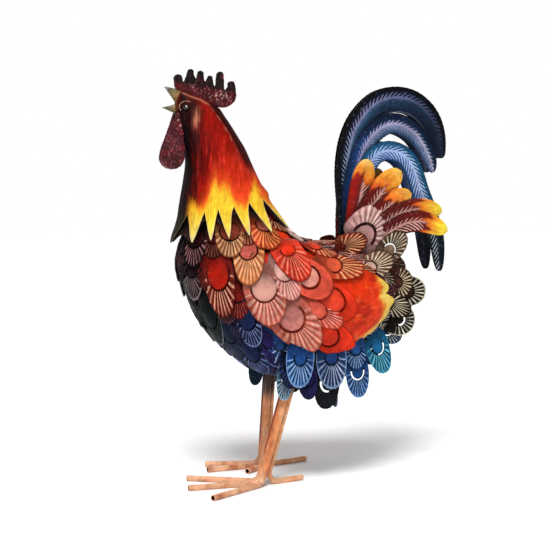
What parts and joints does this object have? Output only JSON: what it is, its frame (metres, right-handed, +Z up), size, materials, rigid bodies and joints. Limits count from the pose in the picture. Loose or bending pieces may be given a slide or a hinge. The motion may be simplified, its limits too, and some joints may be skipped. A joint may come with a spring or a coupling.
{
  "type": "sheet metal rooster sculpture",
  "caption": "Standing rooster built of painted sheet-metal feathers on a shell, with a plate comb, open beak, arched tail and bundled tube legs with splayed toes.",
  "frame": {"origin": "centre of the bounding box in plan, on the ground under the toes", "axes": "-X where the beak points, -Y the bird's left side, +Z up"},
  "size_m": [0.3399, 0.1701, 0.463],
  "materials": {
    "body": "gloss varnished, brushed enamel in maroon, tan, navy and blue",
    "neck": "gloss varnished, brushed red running into yellow points",
    "comb_and_wattles": "hammered, dark maroon gloss",
    "beak": "satin ochre brown",
    "eyes": "black glossy bead",
    "wings": "gloss varnished orange red with yellow hem",
    "tail_sickles": "gloss varnished navy and blue with pale barbs",
    "tail_coverts": "gloss varnished dark red with yellow tips",
    "rump_feathers": "gloss varnished brown and pink with cream ribs",
    "lower_feathers": "gloss varnished blue with light blue ribs",
    "leg_tubes": "satin copper tan lacquer with dark grooves"
  },
  "bodies": {
    "root": {"body_shell": "body", "comb": "comb_and_wattles", "left_covert_1": "tail_coverts", "left_covert_2": "tail_coverts", "left_covert_3": "tail_coverts", "left_covert_4": "tail_coverts", "left_covert_5": "tail_coverts", "left_eye": "eyes", "left_leg_hind_toe": "leg_tubes", "left_leg_inner_toe": "leg_tubes", "left_leg_middle_toe": "leg_tubes", "left_leg_outer_toe": "leg_tubes", "left_lower_feather_1": "lower_feathers", "left_lower_feather_2": "lower_feathers", "left_lower_feather_3": "lower_feathers", "left_lower_feather_4": "lower_feathers", "left_lower_feather_5": "lower_feathers", "left_rump_feather_1": "rump_feathers", "left_rump_feather_2": "rump_feathers", "left_rump_feather_3": "rump_feathers", "left_rump_feather_4": "rump_feathers", "left_sickle_1": "tail_sickles", "left_sickle_2": "tail_sickles", "left_sickle_3": "tail_sickles", "left_wattle": "comb_and_wattles", "left_wing": "wings", "lower_beak": "beak", "neck_and_hackle_cape": "neck", "right_covert_1": "tail_coverts", "right_covert_2": "tail_coverts", "right_covert_3": "tail_coverts", "right_covert_4": "tail_coverts", "right_covert_5": "tail_coverts", "right_eye": "eyes", "right_leg_hind_toe": "leg_tubes", "right_leg_inner_toe": "leg_tubes", "right_leg_middle_toe": "leg_tubes", "right_leg_outer_toe": "leg_tubes", "right_lower_feather_1": "lower_feathers", "right_lower_feather_2": "lower_feathers", "right_lower_feather_3": "lower_feathers", "right_lower_feather_4": "lower_feathers", "right_lower_feather_5": "lower_feathers", "right_rump_feather_1": "rump_feathers", "right_rump_feather_2": "rump_feathers", "right_rump_feather_3": "rump_feathers", "right_rump_feather_4": "rump_feathers", "right_sickle_1": "tail_sickles", "right_sickle_2": "tail_sickles", "right_sickle_3": "tail_sickles", "right_wattle": "comb_and_wattles", "right_wing": "wings", "upper_beak": "beak", "vent_feather": "lower_feathers"}
  },
  "joints": []
}
